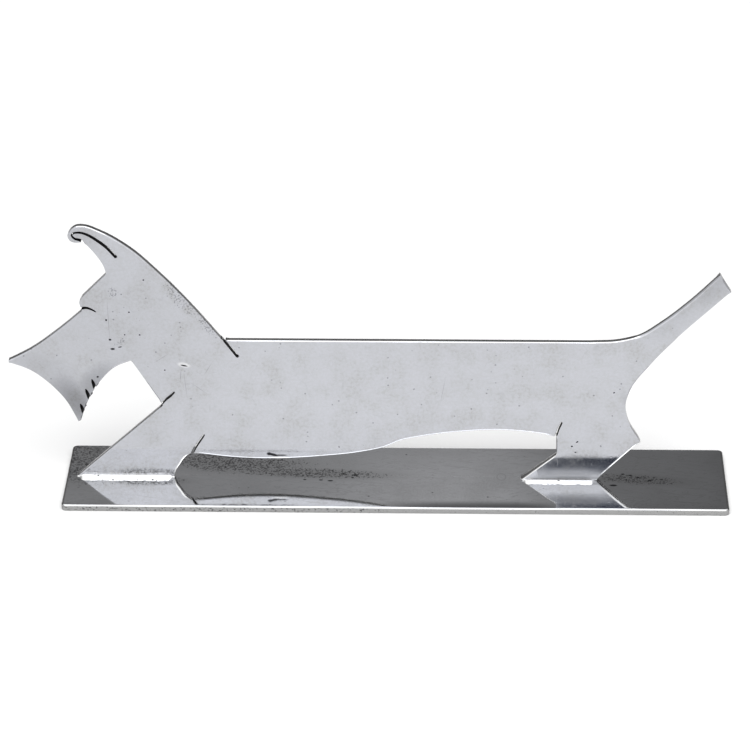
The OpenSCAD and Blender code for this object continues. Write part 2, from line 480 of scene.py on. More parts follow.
def face_triangles(rows, inner):
    """Triangles of a flat face with the rows as its rims and the inner points in it."""
    rim = np.concatenate(rows)
    firsts = np.cumsum([0] + [len(row) for row in rows[:-1]])
    loops = [first + np.arange(len(row)) for first, row in zip(firsts, rows)]
    edges = np.concatenate([np.stack([loop, np.roll(loop, -1)], axis=1) for loop in loops])
    points = np.concatenate([rim, inner]) / MM
    flat = [Vector(point) for point in points.tolist()]
    made = delaunay_2d_cdt(flat, edges.tolist(), [], 0, SAME_POINT)
    if len(made[0]) != len(points):
        raise RuntimeError("the terrier's rounded edges cross")
    source = np.array([origin[0] for origin in made[3]])
    triangles = source[np.array(made[2])]
    middles = points[triangles].mean(axis=1)
    return triangles[inside(middles, [row / MM for row in rows])]


def foot_swell(x, z, sole, sizes):
    """How far a face swells out towards its solder.

    Both feet swell as the square of the share of the sweep's height that is left above the sole. The
    hind foot also splays, in part with that share of the splay's height and in part with its square.
    """
    height = z - sole
    sweep = np.clip(1.0 - height / sizes.foot_sweep_height, 0.0, 1.0)
    splay = np.clip(1.0 - height / sizes.hind_splay_height, 0.0, 1.0)
    hind = np.where(x > 0, sizes.hind_splay, 0.0)
    spread = hind * (STRAIGHT_SPLAY + (1 - STRAIGHT_SPLAY) * splay) * splay
    return sizes.foot_sweep * sweep ** 2 + spread


def terrier(sizes):
    """The terrier: a flat sheet whose outlines carry a rounded edge from one face to the other.

    Point (i, j) is outline corner i, moved inwards along its mitre by the inset of profile row j
    and set at that row's level across the sheet. Where the edge is worn to a slope, the profile's
    middle row stands out by the crown. The faces are triangle grids with low waves, and swell a
    little towards the feet's solder. The points carry their profile row's drop as `edge`, and as
    `cut` whether they lie in a saw cut.
    """
    low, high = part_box("terrier_plate")
    half = (high.y - low.y) / 2
    beard_rear = low.x + BEARD_SHARE * (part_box("front_foot_solder")[1].x - low.x) + BEARD_MORE
    outlines = [filled(row, sizes.side_step) for row in sheet_outlines("terrier_plate")]
    mitres = [outward_mitres(row) for row in outlines]
    everything, all_normals = np.concatenate(outlines), unit(np.concatenate(mitres))
    inset, drop = quarter(sizes.arc_steps, sizes.fullness)
    insets = np.concatenate([inset, [0.0], inset[::-1]])
    drops = np.concatenate([drop, [1.0], drop[::-1]])
    signs = np.concatenate([-np.ones(len(drop)), [0.0], np.ones(len(drop))])
    points, faces, cut_values, edge_values, rims = [], [], [], [], []
    first = 0
    for row, mitre in zip(outlines, mitres):
        normals = unit(mitre)
        cut = in_cuts(row, everything, normals, all_normals, sizes.cut_reach)
        width, depth = edge_wear(row, normals, cut, sizes)
        crown = sizes.under_crown * (width - depth)
        inwards = np.outer(insets, width - crown) + np.outer(np.abs(signs), crown)
        flat = row[None] - mitre[None] * inwards[..., None]
        level = signs[:, None] * (half - np.outer(drops, depth))
        fringe = cut * (row[:, 1] < sizes.fringe_top) * (row[:, 0] < beard_rear)
        flat[..., 0] += sizes.fringe_lean * fringe * (half + level) / (2 * half)
        points.append(np.stack([flat[..., 0], level, flat[..., 1]], axis=-1).reshape(-1, 3))
        faces += (np.array(ring_faces(len(insets), len(row))) + first).tolist()
        edge_values.append(np.broadcast_to(drops[:, None], level.shape).ravel())
        cut_values.append((cut[None] * (drops[:, None] > 0)).ravel())
        rims.append((first, flat[0]))
        first += flat.shape[0] * flat.shape[1]
    inner = face_points([rim for _, rim in rims], sizes.face_step)
    triangles = face_triangles([rim for _, rim in rims], inner)
    last_row = len(insets) - 1
    front_rim = np.concatenate([start + np.arange(len(rim)) for start, rim in rims])
    back_rim = front_rim + np.concatenate([np.full(len(rim), last_row * len(rim)) for _, rim in rims])
    front_names = np.concatenate([front_rim, first + np.arange(len(inner))])
    back_names = np.concatenate([back_rim, first + len(inner) + np.arange(len(inner))])
    faces += front_names[triangles].tolist()
    faces += back_names[triangles[:, ::-1]].tolist()
    for level in (-half, half):
        points.append(np.stack([inner[:, 0], np.full(len(inner), level), inner[:, 1]], axis=1))
        edge_values.append(np.zeros(len(inner)))
        cut_values.append(np.zeros(len(inner)))
    points = np.concatenate(points)
    lift = sizes.sheet_wave * waves(points[:, 0], points[:, 2], SHEET_SPAN)
    lift += foot_swell(points[:, 0], points[:, 2], low.z, sizes)
    points[:, 1] *= 1.0 + lift / half
    piece = mesh_object("terrier", points, faces, "terrier_plate")
    crease(piece, np.concatenate([front_rim, back_rim]))
    point_values(piece, "edge", np.concatenate(edge_values))
    point_values(piece, "cut", np.concatenate(cut_values))
    return piece


# The base plate

# The rings of the plate's top, and the power that draws them together at its edge
TOP_RINGS = 15
TOP_SPREAD = 1.6
# The wavelength of the low waves in the plate's top
PLATE_SPAN = 23 * MM
# The width over which the top falls towards its edges
FALL_WIDTH = 2.2 * MM
# The stretch along which it falls more at the front, the lengths over which that starts and ends,
# and the width over which it grows towards the front
FRONT_STRETCH = (-6 * MM, 26 * MM)
FRONT_EASE = (14 * MM, 10 * MM)
FRONT_WIDTH = 6 * MM
# The drop of the upper round at which its metal starts to look sawn, and over how much drop it does
SAWN_START = 0.35
SAWN_RISE = 0.4
# The smallest radius of a ring's corners
LEAST_RADIUS = 0.02 * MM


def rounded_rectangle(half_x, half_y, radius, per_side, per_corner):
    """Points round a rectangle with rounded corners, for arrays of sizes: shape (rings, points, 2).

    Corner k is an arc about its centre from k to k + 1 quarter turns, and each side is a straight
    row of points from one arc to the next.
    """
    turn = (np.arange(4)[:, None] + np.linspace(0.0, 1.0, per_corner)[None]) * math.pi / 2
    signs = np.array([[1, 1], [-1, 1], [-1, -1], [1, -1]], float)
    centre = np.stack([half_x - radius, half_y - radius], axis=-1)[:, None, None] * signs[None, :, None]
    arcs = centre + radius[:, None, None, None] * np.stack([np.cos(turn), np.sin(turn)], axis=-1)[None]
    starts, ends = arcs[:, :, -1:], np.roll(arcs, -1, axis=1)[:, :, :1]
    way = np.linspace(0.0, 1.0, per_side + 2)[1:-1][None, None, :, None]
    sides = starts + (ends - starts) * way
    return np.concatenate([arcs, sides], axis=2).reshape(len(half_x), -1, 2)


def base_plate(sizes):
    """The base plate: rings of a rounded rectangle, drawn in by each inset of an edge profile.

    From below, the profile is a small quarter round, the upright side, the wide quarter round of
    the upper edge, and a top that rises slightly towards its middle, with very low waves. The top
    falls towards its edges, and more along a stretch of the front. The points carry as `sawn`
    whether they lie on the upright side, which fades out over the upper round.
    """
    low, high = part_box("base_plate")
    middle = (low + high) / 2
    half_x, half_y, thick = (high.x - low.x) / 2, (high.y - low.y) / 2, high.z - low.z
    inset, drop = quarter(sizes.arc_steps)
    ease, wide = sizes.plate_ease, sizes.plate_round
    spread = np.linspace(0.0, 1.0, TOP_RINGS + 1)[1:] ** TOP_SPREAD
    top_insets = wide + (half_y - 2 * wide) * spread
    insets = np.concatenate([ease * inset, wide * inset[::-1], top_insets])
    levels = np.concatenate([ease * drop, thick - wide * drop[::-1], np.full(len(top_insets), thick)])
    radius = np.maximum(sizes.corner_radius - insets, LEAST_RADIUS)
    rings = rounded_rectangle(half_x - insets, half_y - insets, radius, per_side=70, per_corner=7)
    level = np.broadcast_to(levels[:, None], rings.shape[:2]).copy()
    from_edge = np.clip(1.0 - (insets - wide) / FALL_WIDTH, 0.0, 1.0)[:, None]
    upper = (levels > thick - 1e-9)[:, None]
    x, y = rings[..., 0], rings[..., 1]
    along = smooth_step((x - FRONT_STRETCH[0]) / FRONT_EASE[0])
    along = along * smooth_step((FRONT_STRETCH[1] - x) / FRONT_EASE[1])
    fall = sizes.plate_fall + sizes.front_fall * along * smooth_step(-y / FRONT_WIDTH)
    level -= np.where(upper, fall * from_edge ** 2, 0.0)
    level -= np.where((levels > thick / 2)[:, None] & ~upper, fall, 0.0)
    wave = sizes.plate_wave * waves(x, y, PLATE_SPAN)
    level += np.where(upper, wave * (1.0 - from_edge), 0.0)
    points = np.stack([x + middle.x, y + middle.y, level + low.z], axis=-1)
    faces = ring_faces(*rings.shape[:2]) + ring_caps(*rings.shape[:2])
    piece = mesh_object("base_plate_polished", points, faces, "base_plate")
    fading = smooth_step((drop[::-1] - SAWN_START) / SAWN_RISE)
    sides = np.concatenate([np.ones(len(drop)), fading, np.zeros(len(top_insets))])
    point_values(piece, "sawn", np.broadcast_to(sides[:, None], rings.shape[:2]))
    return piece


# The solder

# The corner radius of a sole's outline
SOLE_CORNER = 0.03 * MM
# The length over which a joint runs down to its ends, and the share of the sheet's half thickness
# past which a point of the sole's outline lies on a long face
END_RUN = 0.9 * MM
LONG_FACE = 0.9
# The sines that make a joint's edge uneven: height, wavelength in mm, and shift on each side
EDGE_SINES = (
    (1.0, 2.9, 1),
    (0.6, 1.3, 2),
    (0.4, 0.7, 0),
)
# Points along the curve of a fillet's section
FILLET_POINTS = 9


def solder_joint(name, node, sizes):
    """A solder joint: a hollow fillet carried round the sole of a foot, with its film under the sole.

    The fillet's section is the curve (1 - u)^2 + 2 u (1 - u) k outwards and u^2 + 2 u (1 - u) k
    upwards, k being 1 less the hollow, times its reach and height. Both are the CAD node's own along
    the long faces and run down to the end reach round the toe and heel, and the reach varies by a
    small sum of sines of the way along.
    """
    low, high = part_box(node)
    sheet_low, sheet_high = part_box("terrier_plate")
    middle_x = (low.x + high.x) / 2
    half_x = np.array([(high.x - low.x) / 2])
    half_y = np.array([sheet_high.y])
    long_reach, long_height = high.y - sheet_high.y, high.z - low.z
    corner = np.array([SOLE_CORNER])
    sole = rounded_rectangle(half_x, half_y, corner, per_side=60, per_corner=5)[0]
    ahead = np.roll(sole, -1, axis=0) - np.roll(sole, 1, axis=0)
    outward = unit(np.stack([ahead[:, 1], -ahead[:, 0]], axis=1))
    from_end = (half_x[0] - np.abs(sole[:, 0])) / END_RUN
    along = smooth_step(from_end) * (np.abs(sole[:, 1]) > LONG_FACE * half_y[0])
    turn = 2 * math.pi * sole[:, 0] / MM
    side = np.sign(sole[:, 1])
    ripple = sum(wave * np.sin(turn / span + shift * side) for wave, span, shift in EDGE_SINES)
    reach = sizes.end_reach + (long_reach - sizes.end_reach) * along
    height = sizes.end_reach + (long_height - sizes.end_reach) * along
    reach = reach * (1 + sizes.solder_ripple * ripple)
    u = np.linspace(0.0, 1.0, FILLET_POINTS)
    bend = 2 * u * (1 - u) * (1 - sizes.solder_hollow)
    out = np.concatenate([[0.0], u ** 2 + bend])
    rise = np.concatenate([[0.0], (1 - u) ** 2 + bend])
    flat = sole[None] + outward[None] * (reach[None, :, None] * out[:, None, None])
    level = low.z + rise[:, None] * height[None]
    level[0] = sheet_low.z
    points = np.stack([flat[..., 0] + middle_x, flat[..., 1], level], axis=-1)
    faces = ring_faces(*flat.shape[:2]) + ring_caps(*flat.shape[:2])
    return mesh_object(name, points, faces, node)


# Node tools


class Graph:
    """A node tree, with a short call for each kind of node that the materials share."""

    def __init__(self, tree):
        self.tree = tree

    def add(self, kind, inputs=None, **settings):
        """A new node with its settings, and its inputs by name or place."""
        node = self.tree.nodes.new(kind)
        for name, value in settings.items():
            setattr(node, name, value)
        for name, value in (inputs or {}).items():
            self.plug(node.inputs[name], value)
        return node

    def plug(self, socket, value):
        """Links the value to the socket, or sets the socket where the value is a plain one."""
        if isinstance(value, bpy.types.NodeSocket):
            self.tree.links.new(value, socket)
        else:
            socket.default_value = value

    def math(self, operation, *values):
        """The output of a Math node."""
        return self.add("ShaderNodeMath", dict(enumerate(values)), operation=operation).outputs[0]

    def times(self, first, *others):
        """The product of several values."""
        for other in others:
            first = self.math("MULTIPLY", first, other)
        return first

    def total(self, base, *parts):
        """The base plus each part, a mask times its amount."""
        for mask, amount in parts:
            base = self.math("MULTIPLY_ADD", mask, amount, base)
        return base

    def plus(self, first, second):
        """The sum of two values."""
        return self.math("ADD", first, second)

    def minus(self, first, second):
        """The first value less the second."""
        return self.math("SUBTRACT", first, second)

    def away(self, value, level):
        """How far the value lies from the level."""
        return self.math("ABSOLUTE", self.minus(value, level))

    def highest(self, first, *others):
        """The highest of several masks."""
        for other in others:
            first = self.math("MAXIMUM", first, other)
        return first

    def ramp(self, value, start, end, low=0.0, high=1.0):
        """The value run smoothly from low at `start` to high at `end`."""
        return self.add("ShaderNodeMapRange", interpolation_type="SMOOTHSTEP", inputs={
            "Value": value, "From Min": start, "From Max": end, "To Min": low, "To Max": high,
        }).outputs["Result"]

    def band(self, value, start, full, fall, end):
        """1 from `full` to `fall`, run smoothly to 0 at `start` and at `end`."""
        return self.times(self.ramp(value, start, full), self.ramp(value, end, fall))

    def mix(self, factor, first, second, **settings):
        """Two colours mixed by a factor."""
        return self.add("ShaderNodeMix", data_type="RGBA", inputs={
            "Factor": factor, "A": first, "B": second,
        }, **settings).outputs["Result"]

    def layers(self, lowest, *others):
        """A colour setting under others, each of which comes with its mask."""
        tone = paint(lowest)
        for mask, setting in others:
            tone = self.mix(mask, tone, paint(setting))
        return tone

    def place(self):
        """The piece's own coordinates."""
        return self.add("ShaderNodeTexCoord").outputs["Object"]

    def noise(self, scale, detail, roughness=0.5, place=None):
        """A noise over the place, or over the piece's own coordinates."""
        return self.add("ShaderNodeTexNoise", {
            "Vector": self.place() if place is None else place,
            "Scale": scale, "Detail": detail, "Roughness": roughness,
        }).outputs["Fac"]

    def attribute(self, name):
        """The values that the piece's points carry under a name."""
        return self.add("ShaderNodeAttribute", attribute_name=name).outputs["Fac"]

    def group(self, tree, **values):
        """The outputs of a group node, with its inputs by name, a space written as an underscore."""
        inputs = {name.replace("_", " "): value for name, value in values.items()}
        return self.add("ShaderNodeGroup", node_tree=tree, inputs=inputs).outputs


def paint(value):
    """A colour setting as the four numbers that a socket takes."""
    return (*value, 1.0)


def effect_group(name, inputs, outputs=("Mask",)):
    """A new group of float inputs and outputs: its graph, and the sockets at its two ends."""
    tree = bpy.data.node_groups.new(name, "ShaderNodeTree")
    for title, default in inputs.items():
        socket = tree.interface.new_socket(title, in_out="INPUT", socket_type="NodeSocketFloat")
        socket.default_value = default
    for title in outputs:
        tree.interface.new_socket(title, in_out="OUTPUT", socket_type="NodeSocketFloat")
    graph = Graph(tree)
    return graph, graph.add("NodeGroupInput").outputs, graph.add("NodeGroupOutput").inputs


def hairlines_group():
    """Fine scratches: thin level lines of a noise that is drawn out along X, in two slants."""
    graph, given, out = effect_group("hairline scratches", {"Lines per metre": 1100.0, "Draw": 0.05})
    lines = given["Lines per metre"]
    stretch = graph.add("ShaderNodeCombineXYZ", {
        "X": graph.times(lines, given["Draw"]), "Y": lines, "Z": lines,
    }).outputs["Vector"]
    masks = []
    for slant_y, slant_z, start in ((0.16, 0.22, 0.0), (-0.45, -0.30, 3.7)):
        turned = graph.add("ShaderNodeVectorRotate", rotation_type="EULER_XYZ", inputs={
            "Vector": graph.place(), "Rotation": (0.0, slant_y, slant_z),
        }).outputs["Vector"]
        drawn = graph.add("ShaderNodeVectorMath", operation="MULTIPLY_ADD", inputs={
            0: turned, 1: stretch, 2: (start, start, start),
        }).outputs["Vector"]
        noise = graph.noise(1.0, detail=1.0, place=drawn)
        masks.append(graph.ramp(graph.away(noise, 0.62), 0.05, 0.0))
    graph.plug(out["Mask"], graph.highest(*masks))
    return graph.tree


def scratches_group():
    """Short curved scratches: level lines of a smooth noise, kept where a second noise is high."""
    graph, given, out = effect_group(
        "curved scratches", {"Curves per metre": 300.0, "Width": 0.02, "Share": 0.45},
    )
    curves = given["Curves per metre"]
    noise = graph.noise(curves, detail=1.5, roughness=0.4)
    line = graph.ramp(graph.away(noise, 0.5), given["Width"], 0.0)
    gate = graph.noise(graph.times(curves, 1.7), detail=1.0)
    least = graph.minus(1.0, given["Share"])
    kept = graph.ramp(gate, least, graph.plus(least, 0.06))
    graph.plug(out["Mask"], graph.times(line, kept))
    return graph.tree


def pits_group():
    """Small pits: discs about the points of a cell pattern, in the share of its cells that is given.

    Each cell's own random numbers say whether it has a pit and how large the pit is.
    """
    graph, given, out = effect_group(
        "small pits", {"Pits per metre": 900.0, "Share": 0.15, "Size": 0.16},
    )
    cells = graph.add("ShaderNodeTexVoronoi", {
        "Vector": graph.place(), "Scale": given["Pits per metre"],
    }).outputs
    chance, size, _ = graph.add("ShaderNodeSeparateColor", {0: cells["Color"]}).outputs
    kept = graph.math("LESS_THAN", chance, given["Share"])
    radius = graph.times(given["Size"], graph.ramp(size, 0.0, 1.0, 0.3, 1.0))
    wobble = graph.minus(graph.noise(5000.0, detail=2.0), 0.5)
    distance = graph.total(cells["Distance"], (wobble, 0.12))
    disc = graph.ramp(graph.math("DIVIDE", distance, radius), 1.2, 0.7)
    graph.plug(out["Mask"], graph.times(disc, kept))
    return graph.tree


def speckle_group():
    """Coarse speckles: a fine noise over a threshold that falls as the area grows from 0 to 1."""
    graph, given, out = effect_group(
        "coarse speckles", {"Area": 0.0, "Speckles per metre": 4000.0, "Least": 0.502},
    )
    noise = graph.noise(given["Speckles per metre"], detail=3.0, roughness=0.65)
    least = graph.plus(given["Least"], graph.ramp(given["Area"], 1.0, 0.0, 0.0, 0.25))
    graph.plug(out["Mask"], graph.ramp(noise, least, graph.plus(least, 0.05)))
    return graph.tree


def mark_group():
    """One oval mark at a place: 1 inside the oval and 0 outside, with a soft rim.

    The distance is the root of (along / half length)^2 + (across / half width)^2, along and across
    being the way from the mark's middle, turned by its slant.
    """
    graph, given, out = effect_group("oval mark", {
        "A": 0.0, "B": 0.0, "Middle A": 0.0, "Middle B": 0.0,
        "Half length": 0.001, "Half width": 0.001, "Slant": 0.0, "Softness": 0.3,
    })
    away_a = graph.minus(given["A"], given["Middle A"])
    away_b = graph.minus(given["B"], given["Middle B"])
    cosine = graph.math("COSINE", given["Slant"])
    sine = graph.math("SINE", given["Slant"])
    along = graph.plus(graph.times(away_a, cosine), graph.times(away_b, sine))
    across = graph.minus(graph.times(away_b, cosine), graph.times(away_a, sine))
    along = graph.math("POWER", graph.math("DIVIDE", along, given["Half length"]), 2.0)
    across = graph.math("POWER", graph.math("DIVIDE", across, given["Half width"]), 2.0)
    distance = graph.math("SQRT", graph.plus(along, across))
    outer = graph.plus(1.0, given["Softness"])
    inner = graph.minus(1.0, given["Softness"])
    graph.plug(out["Mask"], graph.ramp(distance, outer, inner))
    return graph.tree


def patina_group():
    """A thin patina: clouds of a fine noise, where a broad noise allows them."""
    graph, given, out = effect_group(
        "patina", {"Clouds per metre": 260.0, "Grain per metre": 2400.0}, ("Mask", "Grain"),
    )
    clouds = graph.noise(given["Clouds per metre"], detail=4.0, roughness=0.55)
    grain = graph.noise(given["Grain per metre"], detail=3.0, roughness=0.6)
    soft = graph.ramp(clouds, 0.38, 0.72)
    fine = graph.ramp(grain, 0.35, 0.75)
    graph.plug(out["Mask"], graph.times(soft, graph.ramp(fine, 0.0, 1.0, 0.45, 1.0)))
    graph.plug(out["Grain"], fine)
    return graph.tree


def mark_masks(graph, mark, first, second, places, softness):
    """One mask for each oval mark: its middle, half length and half width in mm, slant in degrees."""
    return [
        graph.group(mark, A=first, B=second, Middle_A=a * MM, Middle_B=b * MM,
                    Half_length=long * MM, Half_width=wide * MM, Slant=math.radians(slant),
                    Softness=softness)["Mask"]
        for a, b, long, wide, slant in places
    ]


# The materials


def new_material(name, kind):
    """A material with an empty tree, its graph and its shader node."""
    material = bpy.data.materials.new(name)
    material.use_nodes = True
    graph = Graph(material.node_tree)
    graph.tree.nodes.clear()
    shader = graph.add(kind)
    graph.add("ShaderNodeOutputMaterial", {"Surface": shader.outputs["BSDF"]})
    return material, graph, shader.inputs


def new_metal(name):
    """A metal with its graph, its shader's inputs and the piece's own x, y and z."""
    material, graph, shader = new_material(name, "ShaderNodeBsdfPrincipled")
    shader["Metallic"].default_value = 1.0
    return material, graph, shader, graph.add("ShaderNodeSeparateXYZ", {0: graph.place()}).outputs


def finish_metal(graph, shader, tone, gloss, height, depth):
    """Gives the shader its colour, its roughness, and a bump whose full height is `depth` metres."""
    graph.plug(shader["Base Color"], tone)
    graph.plug(shader["Roughness"], gloss)
    relief = graph.add("ShaderNodeBump", {"Strength": 1.0, "Distance": depth, "Height": height})
    graph.plug(shader["Normal"], relief.outputs["Normal"])


# Dents and pits of the worn face: middle x and z, half length and half width in mm, slant in degrees
FACE_DENTS = (
    (-37.9, 20.55, 0.30, 0.15, 0),
    (-38.2, 21.95, 0.18, 0.15, 0),
    (-36.9, 20.85, 0.26, 0.08, 12),
    (-40.1, 16.3, 0.16, 0.13, 20),
    (-38.6, 24.9, 0.13, 0.15, 0),
    (-35.5, 26.1, 0.12, 0.10, 0),
    (-33.4, 30.9, 0.12, 0.10, 0),
    (-34.2, 22.7, 0.12, 0.10, 0),
    (-28.4, 18.1, 0.46, 0.11, -12),
    (-17.2, 4.62, 0.30, 0.24, 0),
    (-16.7, 4.50, 0.72, 0.20, -14),
    (-15.7, 4.42, 0.95, 0.10, 0),
    (23.9, 6.1, 0.15, 0.11, 10),
    (24.6, 6.8, 0.19, 0.10, 35),
    (24.4, 5.2, 0.13, 0.09, 0),
    (31.3, 12.1, 0.13, 0.10, 0),
    (29.4, 14.4, 0.14, 0.09, 20),
    (-36.2, 22.7, 0.10, 0.09, 0),
    (-31.0, 17.4, 0.11, 0.09, 0),
)
# Painted highlights on the face, the same way: round the dash and under the notch at the belly
FACE_SHINES = (
    (-28.4, 18.2, 0.80, 0.34, -12),
    (-15.7, 4.05, 1.20, 0.12, -3),
)
# Single scratches, the same way
FACE_SCRATCHES = (
    (-38.3, 24.8, 2.7, 0.035, 91),
    (-28.9, 16.6, 0.9, 0.040, 84),
    (-28.3, 15.2, 1.6, 0.030, 95),
    (-25.2, 17.6, 0.9, 0.030, 60),
    (-26.4, 14.6, 1.2, 0.030, -38),
    (-31.4, 19.2, 1.0, 0.030, 35),
    (38.6, 29.4, 0.9, 0.050, 62),
    (38.0, 29.2, 0.7, 0.050, -50),
    (42.6, 32.0, 0.8, 0.040, 20),
    (6.4, 14.6, 1.6, 0.030, 80),
)
# Painted shade and painted dark reflections on the face, the same way, and how dark each is
FACE_SHADES = (
    (-43.2, 12.4, 4.4, 2.3, -52, 0.50),
    (-40.6, 15.2, 3.6, 1.9, 46, 0.38),
    (-46.5, 16.6, 7.0, 3.4, -32, 0.17),
    (-41.0, 24.0, 15.0, 13.0, 0, 0.085),
    (-41.6, 37.0, 2.6, 2.2, -20, 0.12),
    (42.0, 30.6, 4.0, 2.0, 42, 0.20),
    (37.0, 26.6, 5.0, 2.2, 38, 0.11),
    (33.4, 10.2, 3.2, 0.7, -54, 0.45),
    (-34.4, 1.58, 5.6, 0.24, 0, 0.04),
    (24.6, 1.32, 4.9, 0.20, 0, 0.40),
    (25.9, 3.85, 7.0, 0.62, 0, 0.20),
)
# Stained areas of the face, the same way: nape, tail, shoulder, front foot, neck and flank
FACE_STAINS = (
    (-29.0, 28.2, 6.0, 1.2, -48),
    (38.4, 27.6, 2.2, 1.2, 40),
    (-28.2, 15.6, 3.4, 1.6, -80),
    (-34.5, 1.8, 5.4, 0.6, 0),
    (-36.0, 24.5, 2.5, 3.0, 0),
    (14.0, 18.4, 6.0, 1.6, -20),
)
# Speckled areas of the face, the same way: nape, front foot and neck
FACE_SPECKLES = (
    (-28.3, 27.9, 3.8, 1.2, -48),
    (-25.2, 24.0, 2.4, 0.7, -50),
    (-33.4, 1.95, 5.2, 0.32, 0),
    (-37.6, 29.0, 1.0, 0.8, 0),
    (-37.0, 21.4, 1.5, 0.5, 40),
)
# Worn edges with a painted highlight, the same way: both heels and the hind toe
BRIGHT_EDGES = (
    (-29.6, 3.0, 2.4, 0.9, 56),
    (31.6, 4.4, 5.2, 0.9, 43),
    (19.4, 2.8, 3.4, 0.7, 41),
)


def terrier_metal(finishes, effects):
    """Hand polished metal: light patina, scratches, pits, duller sawn edges, saw cuts painted near
    black as shade, and painted shade and highlights on the face.
    """
    material, graph, shader, (x, y, z) = new_metal("terrier polished by hand")

    def marked(places, softness):
        """The highest of the oval marks at the places."""
        return graph.highest(*mark_masks(graph, effects["mark"], x, z, places, softness))

    cloud = graph.group(effects["patina"], Clouds_per_metre=260.0, Grain_per_metre=2300.0)
    blotch = graph.group(effects["patina"], Clouds_per_metre=900.0, Grain_per_metre=5200.0)
    lines = graph.group(effects["hairlines"])["Mask"]
    curves = graph.group(effects["scratches"], Curves_per_metre=330.0)["Mask"]
    specks = graph.group(effects["pits"], Pits_per_metre=900.0, Share=0.35, Size=0.15)["Mask"]
    dense = graph.group(effects["pits"], Pits_per_metre=1900.0, Share=0.45, Size=0.24)["Mask"]
    speckled = marked(FACE_SPECKLES, 0.7)
    coarse = graph.group(effects["speckles"], Area=speckled, Least=0.515)["Mask"]
    edge = graph.attribute("edge")
    cut = graph.attribute("cut")
    on_front = graph.math("LESS_THAN", y, 0.0)
    dents = graph.times(on_front, marked(FACE_DENTS, 0.3))
    scratch = graph.times(on_front, marked(FACE_SCRATCHES, 0.6))
    # Painted highlights at the spots of FACE_SHINES
    shine = graph.times(on_front, marked(FACE_SHINES, 0.4), 0.5)
    stained = marked(FACE_STAINS, 0.7)
    # Painted shade and painted dark reflections from FACE_SHADES, laid on in the dark colour of the
    # specks and pits
    shades = mark_masks(graph, effects["mark"], x, z, [row[:5] for row in FACE_SHADES], 0.85)
    shade = graph.highest(*[graph.times(mask, row[5]) for mask, row in zip(shades, FACE_SHADES)])
    sawn = graph.ramp(edge, 0.72, 1.0)
    # Painted highlight along the worn edges of both heels and the hind toe
    painted_bevel_highlight = graph.times(marked(BRIGHT_EDGES, 0.25), graph.band(edge, 0.0, 0.12, 0.76, 0.96))
    patina = graph.total(0.0, (cloud["Mask"], 0.54), (cloud["Grain"], 0.19), (blotch["Grain"], 0.16))
    stain = graph.times(stained, graph.total(0.05, (blotch["Mask"], 0.9)))
    dull = graph.highest(patina, stain, graph.times(lines, 0.26))
    dark = graph.highest(
        dents,
        graph.times(specks, 0.45),
        graph.times(curves, 0.06),
        graph.times(scratch, 0.32),
        graph.times(coarse, 0.42),
        graph.times(dense, stained, 0.45),
    )
    # Over the metal: painted highlights on a few spots and worn edges, painted shade and dark
    # reflections, and the saw cuts painted near black as shade.
    tone = graph.layers(
        finishes.terrier,
        (dull, finishes.patina),
        (shine, finishes.painted_highlight),
        (shade, finishes.tarnish_and_shade),
        (sawn, finishes.sawn),
        (painted_bevel_highlight, finishes.painted_highlight),
        (dark, finishes.tarnish_and_shade),
        (cut, finishes.cut),
    )
    gloss = graph.total(0.06, (dull, 0.10), (sawn, 0.16), (dark, 0.25), (cut, 0.40))
    height = graph.total(
        0.0, (cloud["Grain"], 0.012), (dents, -0.3), (specks, -0.12), (curves, -0.03),
    )
    finish_metal(graph, shader, tone, gloss, height, 0.030 * MM)
    return material


# Tarnished areas of the plate's top: middle x and y, half length and half width in mm, slant in degrees
PLATE_TARNISH = (
    (-42.4, 4.2, 8.6, 7.6, 0),
    (-34.0, -1.6, 6.0, 1.4, 0),
    (-22.0, 3.8, 11.0, 3.4, -4),
    (-12.0, 0.9, 12.0, 1.5, -3),
    (32.6, -0.2, 6.5, 1.4, -6),
    (-20.0, -7.9, 8.0, 0.3, 0),
)
# Areas of the plate's top before the two feet, the same way, dulled as a painted shade that darkens the
# feet's reflections there
PLATE_SHADE_BEFORE_FEET = (
    (-34.0, -2.4, 7.0, 2.0, 0),
    (25.0, -2.6, 5.0, 1.8, 0),
)
# Single specks of the plate's top, the same way
PLATE_SPECKS = (
    (-7.2, 0.7, 0.34, 0.18, 0),
    (-5.5, 0.4, 0.36, 0.22, 10),
    (-5.9, -0.3, 0.18, 0.16, 0),
    (-8.9, -1.2, 0.36, 0.17, 0),
    (-10.2, -1.0, 0.26, 0.14, 0),
    (-12.4, -0.9, 0.20, 0.14, 0),
    (-6.4, 1.3, 0.16, 0.12, 0),
    (29.6, -1.9, 0.50, 0.24, 0),
    (31.0, 1.2, 0.26, 0.16, 0),
    (32.0, 0.9, 0.28, 0.16, 0),
    (33.0, 0.3, 0.30, 0.18, 0),
    (34.6, -0.5, 0.34, 0.22, 15),
    (31.4, -0.4, 0.20, 0.14, 0),
    (36.2, -0.2, 0.20, 0.12, 0),
)
# The faint ring left on the plate's top: its outer and its inner oval, the same way
PLATE_RING = (
    (14.4, 0.2, 0.70, 1.05, 0),
    (14.4, 0.2, 0.52, 0.78, 0),
)
# The level above which the plate's top lies, and where the shade at its two ends starts and is full
TOP_LEVEL = 0.82 * MM
END_SHADE = (44.55 * MM, 44.85 * MM)


